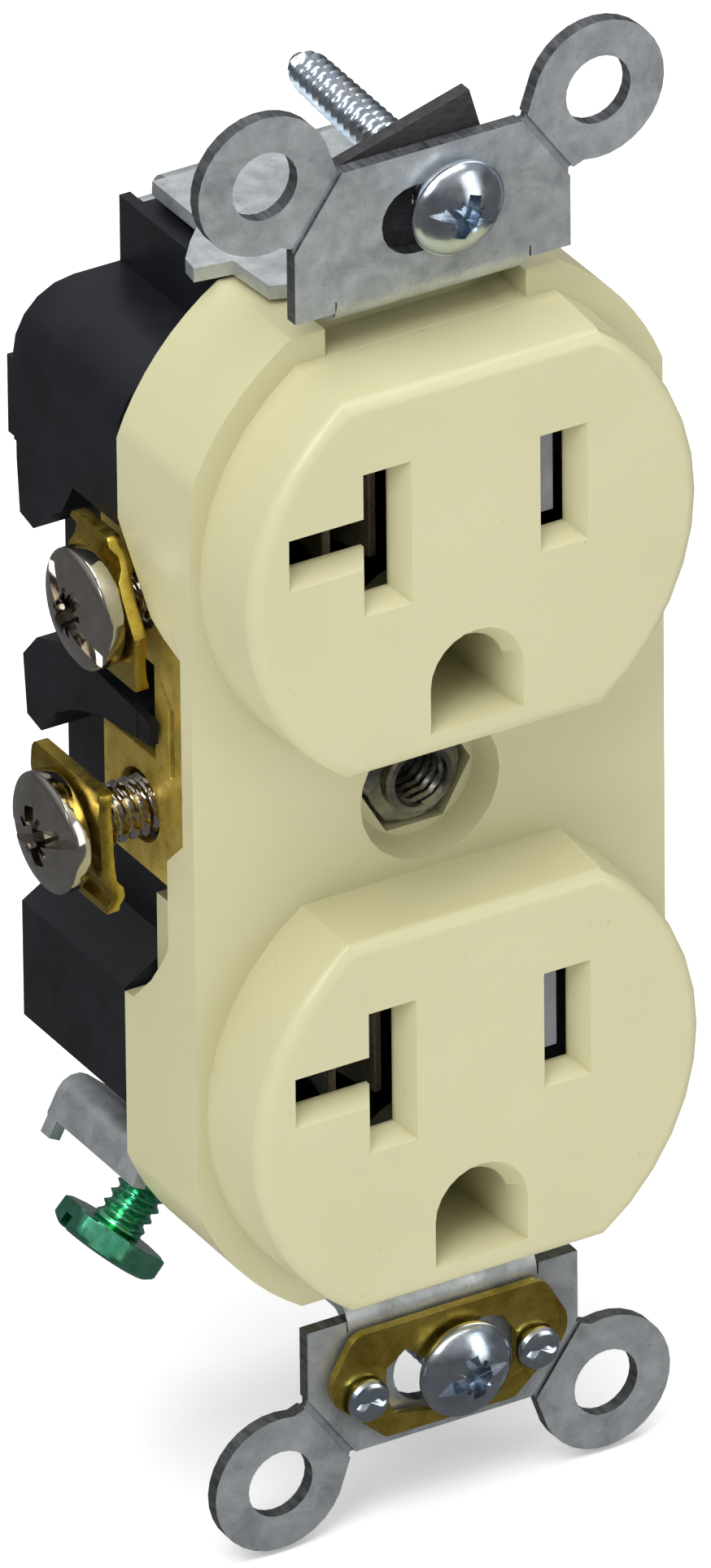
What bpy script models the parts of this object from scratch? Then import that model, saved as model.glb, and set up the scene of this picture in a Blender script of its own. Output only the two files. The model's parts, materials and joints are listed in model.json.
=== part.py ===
"""Duplex wall outlet, 20 A grounding type, with tamper-resistant shutters.

Run with: blender --background --python part.py

Frame: X to the right, Y into the wall, Z up. The origin lies on the wall plane, the back of the
strap's ears, at the middle of the cover-plate screw. Sizes below are millimetres, and the helpers
turn them into metres as they make the geometry.
"""

import math

import bmesh
import bpy
from mathutils import Matrix, Vector

MM = 0.001
GAP = 0.3

# Outlet faces
FACE_PITCH = 38.9
FACE_Z = FACE_PITCH / 2
BOSS_RADIUS = 16.65
BOSS_FLAT = 13.7
BOSS_FRONT = -6.0
BOSS_TAPER = 0.98
BOSS_FILLET = 0.9
BASE_HALF_WIDTH = 17.25
BASE_RADIUS = 18.45
BASE_FLAT = 15.65
BASE_BACK = 9.0
COVER_WALL = 1.5
FRONT_WALL = 1.8
ARC_STEPS = 12

# Openings in each face, measured from the middle of the face
SLOT_LEAD = 0.8
SLOT_LEAD_DEPTH = 1.4
HOT_SLOT = (5.5, 7.35, -0.2, 6.55)
NEUTRAL_SLOT = (-7.35, -5.45, -1.1, 7.5)
NEUTRAL_BRANCH = (-12.75, -6.4, 2.3, 4.35)
GROUND_HALF_WIDTH = 2.7
GROUND_BOTTOM = -11.4
GROUND_ARC_Z = -8.85
SLEEVE_WALL = 1.2
SLEEVE_BACK = 3.5

# Strap
STRAP_T = 1.0
STRAP_Z = 35.9
STRAP_BACK_Y = 21.5
BEND_RADIUS = 1.3
BEND_HALF_WIDTH = 7.0
FLANGE_HALF_WIDTH = 10.0
FLANGE_TOP = 46.4
FLANGE_CORNER_Z = 42.0
FLANGE_TOP_HALF_WIDTH = 6.8
SCREW_SLOT_Z = 41.67
SCREW_SLOT_RADIUS = 2.4
SCREW_SLOT_HALF_LENGTH = 3.7
EAR_X = 12.07
EAR_Z = 47.05
EAR_RADIUS = 4.8
EAR_HOLE_RADIUS = 2.35

# Terminals: screw axes along X, one upper and one lower on each side
TERMINAL_Y = 9.0
TERMINAL_Z = (14.5, -0.9)
PAD_OUTER_X = 16.0
PAD_T = 0.8
CLAMP_INNER_X = 16.35
CLAMP_T = 0.9
CLAMP_OUTLINES = {
    "upper": ((4.3, -4.6), (4.3, 4.6), (-0.2, 4.6), (-3.6, 0.2), (-4.3, -0.7), (-4.3, -4.6)),
    "lower": ((4.3, -4.6), (4.3, 4.2), (-4.3, 4.2), (-4.3, -4.6)),
}
TERMINAL_HEAD_RADIUS = 4.05
TERMINAL_HEAD_T = 2.2
TERMINAL_RIM = 1.2
TERMINAL_SHANK_RADIUS = 1.75
TERMINAL_HOLE_RADIUS = 2.5
TERMINAL_SHANK_LENGTH = 7.6
BACKED_OUT = {
    ("neutral", "upper"): 1.5,
    ("neutral", "lower"): 4.15,
    ("hot", "upper"): 1.0,
    ("hot", "lower"): 1.0,
}

# Mounting screws, 6-32
MOUNT_SHANK_RADIUS = 1.5
MOUNT_HEAD_RADIUS = 3.35
MOUNT_HEAD_T = 1.9
MOUNT_SHANK_LENGTH = 19.3
MOUNT_RIM = 0.7
TOP_SCREW = (1.4, -1.3, 42.05)
TOP_SCREW_TILT = math.radians(3.8)
BOTTOM_SCREW = (0.7, -2.3, -SCREW_SLOT_Z)

# Rivets of the grounding clip
CLIP_RIVET_X = 6.3
CLIP_RIVET_Z = -42.0
RIVET_HOLE_RADIUS = 1.2

# Ground terminal on the strap's tab
TAB_Y = (9.9, 20.8)
TAB_CORNER = (-8.4, -32.43)
TAB_BEND = (-14.6, -26.85)
LIP_END = (-15.95, -29.5)
LIP_HOOK_Y = (19.6, 20.7)
LIP_HOOK_END = (-16.55, -30.6)
GROUND_SCREW_Y = 13.6
GROUND_SCREW_ALONG_TAB = 4.36
GROUND_SCREW_OUT = 6.22
GROUND_SHANK_RADIUS = 1.75
GROUND_HEAD_RADIUS = 3.9
GROUND_HEAD_T = 1.8
GROUND_HEAD_TURN = 41.2
GROUND_SHANK_LENGTH = 8.1

# Cover screw bushing
BUSHING_RADIUS = 2.45
BUSHING_BORE = 1.75
BUSHING_HEX = 3.3
RECESS_RADIUS = 5.1
RECESS_DEPTH = 2.0

# Back body
BODY_FRONT = BASE_BACK + 0.3
BODY_BACK = 22.3
BODY_HALF_WIDTH = 17.1
CORE_HALF_WIDTH = 13.5
CORE_TOP = 30.1
CORE_BOTTOM = -22.5
END_Z = 34.8
TOP_END_HALF_WIDTH = 9.2
BOTTOM_END_HALF_WIDTH = 7.4
CHANNEL_HALF_WIDTH = 8.4
CHANNEL_Y = 20.7
BODY_WALL = 1.6

# Contacts
BLADE_X = 6.4
BLADE_Z = 3.2
LEAF_LENGTH = 8.0
LEAF_T = 0.6
ARM_Y = (12.6, 13.4)
GROUND_PIN_Z = -8.85

# Shutters
SHUTTER_Y = (-3.9, -2.1)
SHUTTER_EDGE_X = 6.9
SPRING_RADIUS = 0.75
SPRING_WIRE = 0.3
SPRING_X = (-1.1, 2.15)
SPRING_Z = 3.2

PARTS = "duplex_wall_outlet"
CUTTERS = "cutters"

COLOURS = {
    "ivory_plastic": ((0.62, 0.57, 0.36), 0.35, 0.0),
    "black_plastic": ((0.016, 0.017, 0.021), 0.45, 0.0),
    "galvanized_steel": ((0.42, 0.45, 0.47), 0.45, 1.0),
    "brass": ((0.55, 0.38, 0.08), 0.32, 1.0),
    "nickel_plate": ((0.66, 0.63, 0.58), 0.15, 1.0),
    "zinc_plate": ((0.62, 0.66, 0.70), 0.22, 1.0),
    "green_plate": ((0.02, 0.30, 0.13), 0.28, 1.0),
    "shutter_plastic": ((0.62, 0.64, 0.68), 0.40, 0.0),
    "black_fibre": ((0.020, 0.020, 0.022), 0.80, 0.0),
    "spring_steel": ((0.50, 0.50, 0.50), 0.30, 1.0),
}


def clear_scene():
    for obj in list(bpy.data.objects):
        bpy.data.objects.remove(obj)


def make_collection(name):
    made = bpy.data.collections.new(name)
    bpy.context.scene.collection.children.link(made)
    return made


def make_material(name):
    colour, roughness, metallic = COLOURS[name]
    material = bpy.data.materials.new(name)
    material.use_nodes = True
    shader = material.node_tree.nodes["Principled BSDF"]
    shader.inputs["Base Color"].default_value = (*colour, 1.0)
    shader.inputs["Roughness"].default_value = roughness
    shader.inputs["Metallic"].default_value = metallic
    return material


# ---------------------------------------------------------------- outlines


def arc(centre, radius, start, end, steps=ARC_STEPS):
    """Points along an arc, both ends included; angles in degrees."""
    points = []
    for step in range(steps + 1):
        angle = math.radians(start + (end - start) * step / steps)
        points.append((centre[0] + radius * math.cos(angle), centre[1] + radius * math.sin(angle)))
    return points


def circle(centre, radius, steps=24, turn=0.0):
    return arc(centre, radius, turn, turn + 360 - 360 / steps, steps - 1)


def hexagon(centre, apothem):
    return circle(centre, apothem / math.cos(math.pi / 6), 6)


def stadium(centre, half_length, radius, steps=10):
    reach = half_length - radius
    right = arc((centre[0] + reach, centre[1]), radius, -90, 90, steps)
    left = arc((centre[0] - reach, centre[1]), radius, 90, 270, steps)
    return right + left


def rounded(points, radius, steps=5, closed=False):
    """The polyline with its corners turned into arcs of this radius."""
    made = []
    last = len(points) - 1
    for index, point in enumerate(points):
        corner = Vector(point)
        if not closed and index in (0, last):
            made.append(tuple(corner))
            continue
        before = (Vector(points[index - 1]) - corner).normalized()
        after = (Vector(points[(index + 1) % len(points)]) - corner).normalized()
        half = before.angle(after) / 2
        if half > math.radians(89):
            made.append(tuple(corner))
            continue
        middle = corner + (before + after).normalized() * (radius / math.sin(half))
        start = corner + before * (radius / math.tan(half)) - middle
        end = corner + after * (radius / math.tan(half)) - middle
        turn = start.angle_signed(end)
        for step in range(steps + 1):
            angle = -turn * step / steps
            made.append(tuple(middle + Matrix.Rotation(angle, 2) @ start))
    return made


def ribbon(points, thickness):
    """The outline of a strip of this thickness that follows the polyline."""
    left, right = [], []
    for index, point in enumerate(points):
        here = Vector(point)
        ahead = Vector(points[min(index + 1, len(points) - 1)]) - here
        behind = here - Vector(points[max(index - 1, 0)])
        ahead = (ahead if ahead.length else behind).normalized()
        behind = (behind if behind.length else ahead).normalized()
        normal = (ahead + behind).normalized().orthogonal()
        reach = thickness / 2 / max(normal.dot(ahead.orthogonal()), 0.2)
        left.append(tuple(here + normal * reach))
        right.append(tuple(here - normal * reach))
    return left + right[::-1]


def mirrored(points, centre=0.0):
    """The points reflected in the line u = centre."""
    return [(2 * centre - u, v) for u, v in points]


# ---------------------------------------------------------------- solids

AXES = {
    "X": Matrix(((0, 0, 1), (1, 0, 0), (0, 1, 0))).to_4x4(),
    "Y": Matrix(((1, 0, 0), (0, 0, -1), (0, 1, 0))).to_4x4(),
    "Z": Matrix.Identity(4),
}


def add_object(name, mesh, collection):
    obj = bpy.data.objects.new(name, mesh)
    collection.objects.link(obj)
    return obj


def mesh_from(build):
    """A bmesh, closed and facing out, as a new mesh."""
    bmesh.ops.remove_doubles(build, verts=build.verts, dist=1e-7)
    bmesh.ops.recalc_face_normals(build, faces=build.faces)
    mesh = bpy.data.meshes.new("shape")
    build.to_mesh(mesh)
    build.free()
    return mesh


def box(low, high):
    """A box between two corners, each (x, y, z)."""
    low, high = Vector(low) * MM, Vector(high) * MM
    build = bmesh.new()
    place = Matrix.Translation((low + high) / 2) @ Matrix.Diagonal((*(high - low), 1.0))
    bmesh.ops.create_cube(build, size=1.0, matrix=place)
    return mesh_from(build)


def plate(outlines, low, high, axis="Y"):
    """A flat outline, with any holes after it, extruded from low to high along the axis.

    Outline points are (x, z) along Y, (y, z) along X and (x, y) along Z.
    """
    curve = bpy.data.curves.new("outline", "CURVE")
    curve.dimensions = "2D"
    curve.fill_mode = "BOTH"
    curve.extrude = abs(high - low) / 2 * MM
    for outline in outlines:
        spline = curve.splines.new("POLY")
        spline.points.add(len(outline) - 1)
        spline.use_cyclic_u = True
        for point, (u, v) in zip(spline.points, outline):
            point.co = (u * MM, v * MM, 0.0, 1.0)
    obj = add_object("outline", curve, bpy.context.scene.collection)
    middle = (low + high) / 2 * MM * (-1 if axis == "Y" else 1)
    obj.matrix_world = AXES[axis] @ Matrix.Translation((0, 0, middle))
    graph = bpy.context.evaluated_depsgraph_get()
    mesh = bpy.data.meshes.new_from_object(obj.evaluated_get(graph))
    mesh.transform(obj.matrix_world)
    bpy.data.objects.remove(obj)
    build = bmesh.new()
    build.from_mesh(mesh)
    return mesh_from(build)


def turned(profile, steps=24):
    """A profile of (radius, height) points, top to bottom down its outer side, turned round +Z."""
    mesh = bpy.data.meshes.new("profile")
    points = [(radius * MM, 0.0, height * MM) for radius, height in profile]
    closed = profile[0][0] > 0
    edges = [(index, index + 1) for index in range(len(points) - 1)]
    if closed:
        edges.append((len(points) - 1, 0))
    mesh.from_pydata(points, edges, [])
    obj = add_object("profile", mesh, bpy.context.scene.collection)
    screw = obj.modifiers.new("turn", "SCREW")
    screw.steps = steps
    screw.render_steps = steps
    screw.use_merge_vertices = True
    screw.merge_threshold = 1e-6
    graph = bpy.context.evaluated_depsgraph_get()
    made = bpy.data.meshes.new_from_object(obj.evaluated_get(graph))
    bpy.data.objects.remove(obj)
    build = bmesh.new()
    build.from_mesh(made)
    return mesh_from(build)


def placed(mesh, location, direction=(0, 0, 1)):
    """The mesh with its +Z turned to the direction, then moved to the location."""
    turn = Vector((0, 0, 1)).rotation_difference(Vector(direction)).to_matrix().to_4x4()
    mesh.transform(Matrix.Translation(Vector(location) * MM) @ turn)
    return mesh


def flipped(mesh, axis):
    """The mirror image of the mesh across the plane through the origin that is square to the axis."""
    copy = mesh.copy()
    copy.transform(Matrix.Scale(-1, 4, axis))
    copy.flip_normals()
    return copy


def tapered(mesh, y_limit, factor, centre_z):
    """The mesh with its points in front of y_limit drawn towards the line at centre_z."""
    for vertex in mesh.vertices:
        if vertex.co.y < y_limit * MM:
            vertex.co.x *= factor
            vertex.co.z = centre_z * MM + (vertex.co.z - centre_z * MM) * factor
    return mesh


def round_edges(mesh, radius, test, segments=3):
    """Round the edges whose both ends pass the test, which is given each point in millimetres."""
    build = bmesh.new()
    build.from_mesh(mesh)
    bmesh.ops.dissolve_limit(build, angle_limit=math.radians(1), verts=build.verts, edges=build.edges)
    edges = [edge for edge in build.edges if all(test(vertex.co / MM) for vertex in edge.verts)]
    bmesh.ops.bevel(
        build,
        geom=edges,
        offset=radius * MM,
        segments=segments,
        profile=0.5,
        affect="EDGES",
    )
    return mesh_from(build)


class Piece:
    """A named sub-part: its first solid, then solids joined to it and cut from it in turn."""

    def __init__(self, name, material, mesh, origin=(0, 0, 0)):
        self.obj = add_object(name, mesh, bpy.data.collections[PARTS])
        self.obj.data.name = name
        self.obj.data.materials.clear()
        self.obj.data.materials.append(bpy.data.materials[material])
        self.count = 0
        self.set_origin(origin)

    def set_origin(self, origin):
        """Put the object's origin on its joint's axis and leave the shape where it is."""
        self.obj.data.transform(Matrix.Translation(-Vector(origin) * MM))
        self.obj.location = Vector(origin) * MM

    def change(self, mesh, operation):
        self.count += 1
        name = f"{self.obj.name}_{operation.lower()}_{self.count}"
        tool = add_object(name, mesh, bpy.data.collections[CUTTERS])
        tool.hide_render = True
        tool.display_type = "WIRE"
        modifier = self.obj.modifiers.new(name, "BOOLEAN")
        modifier.object = tool
        modifier.operation = operation
        modifier.solver = "EXACT"
        return self

    def join(self, *meshes):
        for mesh in meshes:
            self.change(mesh, "UNION")
        return self

    def cut(self, *meshes):
        for mesh in meshes:
            self.change(mesh, "DIFFERENCE")
        return self

    def smooth(self, angle=35.0):
        self.obj.data.shade_smooth()
        self.obj.data.set_sharp_from_angle(angle=math.radians(angle))
        return self


# ---------------------------------------------------------------- face cover


def boss_outline(centre_z):
    span = math.degrees(math.asin(BOSS_FLAT / BOSS_RADIUS))
    centre = (0.0, centre_z)
    return arc(centre, BOSS_RADIUS, -span, span) + arc(centre, BOSS_RADIUS, 180 - span, 180 + span)


def base_outline(inset=0.0):
    """Both round ends and the straight sides of the cover, drawn in by the inset."""
    radius = BASE_RADIUS - inset
    first = math.degrees(math.acos((BASE_HALF_WIDTH - inset) / radius))
    last = math.degrees(math.asin((BASE_FLAT - inset) / radius))
    upper, lower = (0.0, FACE_Z), (0.0, -FACE_Z)
    return (
        arc(upper, radius, first, last, 8)
        + arc(upper, radius, 180 - last, 180 - first, 8)
        + arc(lower, radius, 180 + first, 180 + last, 8)
        + arc(lower, radius, 360 - last, 360 - first, 8)
    )


def boss(centre_z):
    """One outlet face: a drafted block with its front edge rounded."""
    mesh = plate([boss_outline(centre_z)], BOSS_FRONT, 0.8)
    mesh = tapered(mesh, BOSS_FRONT + 1, BOSS_TAPER, centre_z)
    return round_edges(mesh, BOSS_FILLET, lambda point: point.y < BOSS_FRONT + 0.01)


def boss_hollow(centre_z):
    """The hollow behind one outlet face, which opens into the base."""
    mesh = plate([boss_outline(centre_z)], BOSS_FRONT + FRONT_WALL, 3.0)
    return tapered(mesh, 10.0, (BOSS_RADIUS - COVER_WALL - 0.4) / BOSS_RADIUS, centre_z)


def slot_cutters(sides, centre_z):
    """A slot's straight passage and the wider lead-in at its mouth."""
    left, right, bottom, top = sides
    inner = BOSS_FRONT + SLOT_LEAD_DEPTH
    bottom += centre_z
    top += centre_z
    passage = box((left, inner - 0.2, bottom), (right, BOSS_FRONT + FRONT_WALL + 1.2, top))
    lead = box((left, BOSS_FRONT - 0.2, bottom), (right, inner, top))
    spread = (SLOT_LEAD * (SLOT_LEAD_DEPTH + 0.2) / SLOT_LEAD_DEPTH) * MM
    for vertex in lead.vertices:
        if vertex.co.y < BOSS_FRONT * MM:
            vertex.co.x += math.copysign(spread, vertex.co.x - (left + right) / 2 * MM)
            vertex.co.z += math.copysign(spread, vertex.co.z - (bottom + top) / 2 * MM)
    return [lead, passage]


def ground_outline(centre_z, spread=0.0):
    """A round-topped opening with a flat bottom."""
    width = GROUND_HALF_WIDTH + spread
    centre = (0.0, centre_z + GROUND_ARC_Z)
    bottom = centre_z + GROUND_BOTTOM - spread
    return arc(centre, width, 0, 180) + [(-width, bottom), (width, bottom)]


def ground_cutters(centre_z):
    inner = BOSS_FRONT + SLOT_LEAD_DEPTH
    middle = centre_z + (GROUND_BOTTOM + GROUND_ARC_Z) / 2
    passage = plate([ground_outline(centre_z)], inner - 0.2, SLEEVE_BACK + 1)
    lead = plate([ground_outline(centre_z)], BOSS_FRONT - 0.2, inner)
    factor = (GROUND_HALF_WIDTH + SLOT_LEAD) / GROUND_HALF_WIDTH
    return [tapered(lead, BOSS_FRONT + 0.5, factor, middle), passage]


def side_window():
    """The opening in the cover's left wall around the two terminals."""
    outline = [
        (9.5, 20.8), (9.0, 20.2), (4.97, 14.93), (3.46, 14.19), (1.4, 13.5),
        (1.4, 0.1), (3.4, -1.9), (3.4, -8.2), (4.02, -9.39), (5.61, -11.65), (7.91, -13.98), (9.5, -14.2),
    ]
    return plate([outline], -BASE_HALF_WIDTH - 1, -BASE_HALF_WIDTH + 2.4, "X")


def face_cover():
    hollow = plate([base_outline(COVER_WALL)], FRONT_WALL, BASE_BACK + 1)
    floor = box((-20, FRONT_WALL - 1, -31.6), (20, BASE_BACK + 2, 31.6))
    cover = Piece("face_cover", "ivory_plastic", plate([base_outline()], 0.0, BASE_BACK))
    for centre_z in (FACE_Z, -FACE_Z):
        cover.join(boss(centre_z))
    cover.cut(intersection(hollow, floor))
    for centre_z in (FACE_Z, -FACE_Z):
        cover.cut(boss_hollow(centre_z))
        sleeve = plate([ground_outline(centre_z, SLEEVE_WALL)], BOSS_FRONT + FRONT_WALL - 0.4, SLEEVE_BACK)
        cover.join(sleeve)
        spring_rib = box(
            (SPRING_X[0] - 1.2, BOSS_FRONT + FRONT_WALL - 0.4, centre_z + 1.7),
            (SPRING_X[0] - 0.2, -1.9, centre_z + 4.7),
        )
        cover.join(spring_rib)
    cover.join(placed(turned([(0, 4.5), (6.6, 4.5), (6.6, 0.9), (0, 0.9)]), (0, 0, 0), (0, 1, 0)))
    for centre_z in (FACE_Z, -FACE_Z):
        for sides in (HOT_SLOT, NEUTRAL_SLOT, NEUTRAL_BRANCH):
            cover.cut(*slot_cutters(sides, centre_z))
        cover.cut(*ground_cutters(centre_z))
    recess = turned([(0, RECESS_DEPTH), (RECESS_RADIUS - 0.8, RECESS_DEPTH), (RECESS_RADIUS + 0.2, -0.5), (0, -0.5)])
    cover.cut(placed(recess, (0, 0, 0), (0, 1, 0)))
    cover.cut(plate([hexagon((0, 0), BUSHING_HEX + GAP)], RECESS_DEPTH - 0.2, 4.3 - GAP))
    cover.cut(plate([circle((0, 0), BUSHING_RADIUS + GAP)], 2.0, 6.0))
    for low, high in ((-18.5, -7.6), (17.2, 23.0)):
        backing = box((-16.3, 1.0, low), (-13.3, BASE_BACK - 0.05, high))
        cover.join(backing, flipped(backing, (1, 0, 0)))
    notch = box((-7.3, -0.5, FACE_Z + BOSS_FLAT), (7.3, 3.2, 40.0))
    cover.cut(notch, flipped(notch, (0, 0, 1)))
    window = side_window()
    cover.cut(window, flipped(window, (1, 0, 0)))
    cover.smooth(25.0)


def intersection(mesh, other):
    """The solid that two meshes share."""
    first = add_object("first", mesh, bpy.context.scene.collection)
    second = add_object("second", other, bpy.context.scene.collection)
    modifier = first.modifiers.new("shared", "BOOLEAN")
    modifier.object = second
    modifier.operation = "INTERSECT"
    modifier.solver = "EXACT"
    graph = bpy.context.evaluated_depsgraph_get()
    made = bpy.data.meshes.new_from_object(first.evaluated_get(graph))
    bpy.data.objects.remove(first)
    bpy.data.objects.remove(second)
    return made


# ---------------------------------------------------------------- back body


def body_outline():
    """Right half of the body's outline from the top, then its mirror image."""
    right = [
        (TOP_END_HALF_WIDTH, END_Z),
        (TOP_END_HALF_WIDTH, CORE_TOP),
        *arc((12.6, 25.6), 4.5, 90, 0, 5),
        (BODY_HALF_WIDTH, 19.5),
        (CORE_HALF_WIDTH, 19.3),
        (CORE_HALF_WIDTH, -11.9),
        (BODY_HALF_WIDTH, -14.1),
        (BODY_HALF_WIDTH, CORE_BOTTOM),
        (BOTTOM_END_HALF_WIDTH, CORE_BOTTOM + 0.2),
        (BOTTOM_END_HALF_WIDTH, -END_Z),
    ]
    return right + mirrored(right)[::-1]


def side_guards():
    """The rib between the left terminals, with its hook, and the hook above them."""
    rib = [
        (7.4, 5.0), (7.4, 7.0), (12.0, 7.4), (17.0, 7.3), (20.0, 6.2), (21.8, 4.2),
        (21.4, 0.0), (19.6, -0.4), (17.6, 1.9), (15.4, 3.2), (12.0, 4.4),
    ]
    nose = [(5.9, 5.1), (5.9, 6.7), (8.0, 7.1), (8.0, 5.0)]
    hook = [(22.2, 19.8), (22.2, 18.2), (21.9, 14.4), (20.2, 14.0), (18.3, 15.9), (16.5, 17.0), (14.8, 19.8)]
    inner = -CORE_HALF_WIDTH + 0.2
    outer = -BODY_HALF_WIDTH + 0.1
    return [
        plate([rib], outer, inner, "X"),
        plate([nose], outer + 0.05, -PAD_OUTER_X - GAP, "X"),
        plate([hook], outer, inner, "X"),
    ]


def back_body():
    body = Piece("back_body", "black_plastic", plate([body_outline()], BODY_FRONT, BODY_BACK))
    shoulder = box((-BODY_HALF_WIDTH + 0.1, BODY_BACK - 0.4, 19.6), (-CHANNEL_HALF_WIDTH - 0.4, BODY_BACK + 0.9, 25.2))
    body.join(shoulder, flipped(shoulder, (1, 0, 0)))
    for guard in side_guards():
        body.join(guard, flipped(guard, (1, 0, 0)))
    body.cut(box((-CHANNEL_HALF_WIDTH, CHANNEL_Y, -40), (CHANNEL_HALF_WIDTH, 30, 40)))
    back = CHANNEL_Y - BODY_WALL
    chamber = box((-CORE_HALF_WIDTH + BODY_WALL, 0, -21.2), (-3.7, back, 28.4))
    body.cut(chamber, flipped(chamber, (1, 0, 0)))
    body.cut(box((-3.0, 0, -33.2), (3.0, back, 33.2)))
    for low, high in ((10.7, 18.1), (-4.9, 2.6)):
        notch = box((-CORE_HALF_WIDTH - 0.3, 0, low), (-CORE_HALF_WIDTH + BODY_WALL + 0.3, ARM_Y[1] + GAP, high))
        body.cut(notch, flipped(notch, (1, 0, 0)))
    body.cut(plate([circle((0, 0), BUSHING_RADIUS + GAP)], 15, 25))
    for centre_z in (FACE_Z, -FACE_Z):
        body.cut(plate([circle((0, centre_z + GROUND_PIN_Z), 1.55, 16)], 15, 25))


# ---------------------------------------------------------------- strap


def flange_plate(rivet_holes=False):
    """The upper flange with its ears, the screw slot and the ear holes."""
    neck = BEND_HALF_WIDTH + 0.1
    right = [
        (neck, 37.4),
        (neck, 36.6),
        (FLANGE_HALF_WIDTH, 36.6),
        (FLANGE_HALF_WIDTH, FLANGE_CORNER_Z),
        *arc((EAR_X, EAR_Z), EAR_RADIUS, -103, 166, 24),
        (FLANGE_TOP_HALF_WIDTH, FLANGE_TOP),
    ]
    outlines = [
        right + mirrored(right)[::-1],
        stadium((0, SCREW_SLOT_Z), SCREW_SLOT_HALF_LENGTH, SCREW_SLOT_RADIUS),
    ]
    for side in (1, -1):
        outlines.append(circle((side * EAR_X, EAR_Z), EAR_HOLE_RADIUS))
        if rivet_holes:
            outlines.append(circle((side * CLIP_RIVET_X, -CLIP_RIVET_Z), RIVET_HOLE_RADIUS, 16))
    return plate(outlines, -STRAP_T, 0)


def end_plate(left_wing=True):
    """The flat part of the strap over one end of the body, with its wings."""
    front = [(BEND_HALF_WIDTH, 0.9), (BEND_HALF_WIDTH, 4.0), (8.6, 4.6), (8.9, 8.6)]
    wing = [(11.5, 9.0), (11.3, 10.4), (9.9, 12.2), (8.6, 13.6)]
    rear = [(8.0, 14.8), (8.0, 20.2)]
    right = front + wing + rear
    left = front + (wing if left_wing else []) + rear
    half = STRAP_T / 2
    return plate([right + mirrored(left)[::-1]], STRAP_Z - half, STRAP_Z + half, "Z")


def ground_tab():
    """The bent tab under the lower left of the body that holds the ground screw, and its hook."""
    line = [(-6.0, -STRAP_Z), (TAB_CORNER[0], -STRAP_Z), TAB_CORNER, TAB_BEND, LIP_END]
    tab = plate([ribbon(rounded(line, 1.0, 4), STRAP_T)], *TAB_Y)
    middle = (Vector(TAB_BEND) + Vector(LIP_END)) / 2
    hook = plate([ribbon([tuple(middle), LIP_HOOK_END], STRAP_T - 0.1)], *LIP_HOOK_Y)
    return tab, hook


def tab_direction():
    """Along the tab, from its lip towards the strap, as a unit vector in X and Z."""
    return (Vector(TAB_CORNER) - Vector(TAB_BEND)).normalized()


def ground_screw_axis():
    """The point where the ground screw crosses its tab, and the way its head lies from there."""
    along = tab_direction()
    point = Vector(TAB_BEND) + along * GROUND_SCREW_ALONG_TAB
    return Vector((point.x, GROUND_SCREW_Y, point.y)), Vector((along.y, 0.0, -along.x))


def mounting_strap():
    half = STRAP_T / 2
    line = [(-half, 38.4), (-half, STRAP_Z), (STRAP_BACK_Y, STRAP_Z), (STRAP_BACK_Y, -STRAP_Z),
            (-half, -STRAP_Z), (-half, -38.4)]
    bent = ribbon(rounded(line, BEND_RADIUS), STRAP_T)
    strap = Piece("mounting_strap", "galvanized_steel", plate([bent], -BEND_HALF_WIDTH, BEND_HALF_WIDTH, "X"))
    strap.join(flange_plate(), flipped(flange_plate(rivet_holes=True), (0, 0, 1)))
    strap.join(end_plate(), flipped(end_plate(left_wing=False), (0, 0, 1)))
    strap.join(box((-8.0, STRAP_BACK_Y - half, -34.4), (8.0, STRAP_BACK_Y + half, 34.4)))
    strap.join(*ground_tab())
    for side_z in (1, -1):
        for side_x in (1, -1):
            strap.cut(*score_lines(side_x, side_z))
    strap.cut(plate([circle((0, 0), BUSHING_RADIUS + GAP)], 19, 25))
    for centre_z in (FACE_Z, -FACE_Z):
        strap.cut(plate([circle((0, centre_z + GROUND_PIN_Z), 1.55, 16)], 19, 25))
    point, direction = ground_screw_axis()
    hole = turned([(0, 3), (GROUND_SHANK_RADIUS + GAP, 3), (GROUND_SHANK_RADIUS + GAP, -3), (0, -3)])
    strap.cut(placed(hole, point, direction))


def score_lines(side_x, side_z):
    """The grooves across the neck of an ear, front and back, where it breaks off."""
    start = Vector((side_x * (FLANGE_TOP_HALF_WIDTH - 0.4), side_z * (FLANGE_TOP + 0.6)))
    end = Vector((side_x * (FLANGE_HALF_WIDTH + 0.4), side_z * (FLANGE_CORNER_Z - 0.6)))
    line = ribbon([tuple(start), tuple(end)], 0.5)
    return [plate([line], -STRAP_T - 0.5, -STRAP_T + 0.25), plate([line], -0.25, 0.5)]


# ---------------------------------------------------------------- screws and rivets


def domed_head(radius, thickness, rim):
    """Outer profile of a domed screw head that stands on z = 0."""
    sag = thickness - rim
    sphere = (radius * radius + sag * sag) / (2 * sag)
    points = []
    for step in range(5):
        across = radius * step / 4
        points.append((across, rim + math.sqrt(sphere * sphere - across * across) - (sphere - sag)))
    return points + [(radius, 0.0)]


def screw_profile(head, shank_radius, length):
    return head + [(shank_radius, 0.0), (shank_radius, -length + 0.6), (shank_radius - 0.6, -length), (0, -length)]


def cross_recess(radius, depth, top, width=0.8):
    """A straight slot crossed by a shorter one, cut into the head from above."""
    long = box((-radius, -width / 2, top - depth), (radius, width / 2, top + 1))
    short = box((-width / 2, -radius * 0.55, top - depth * 1.3), (width / 2, radius * 0.55, top + 1))
    return [long, short]


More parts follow.
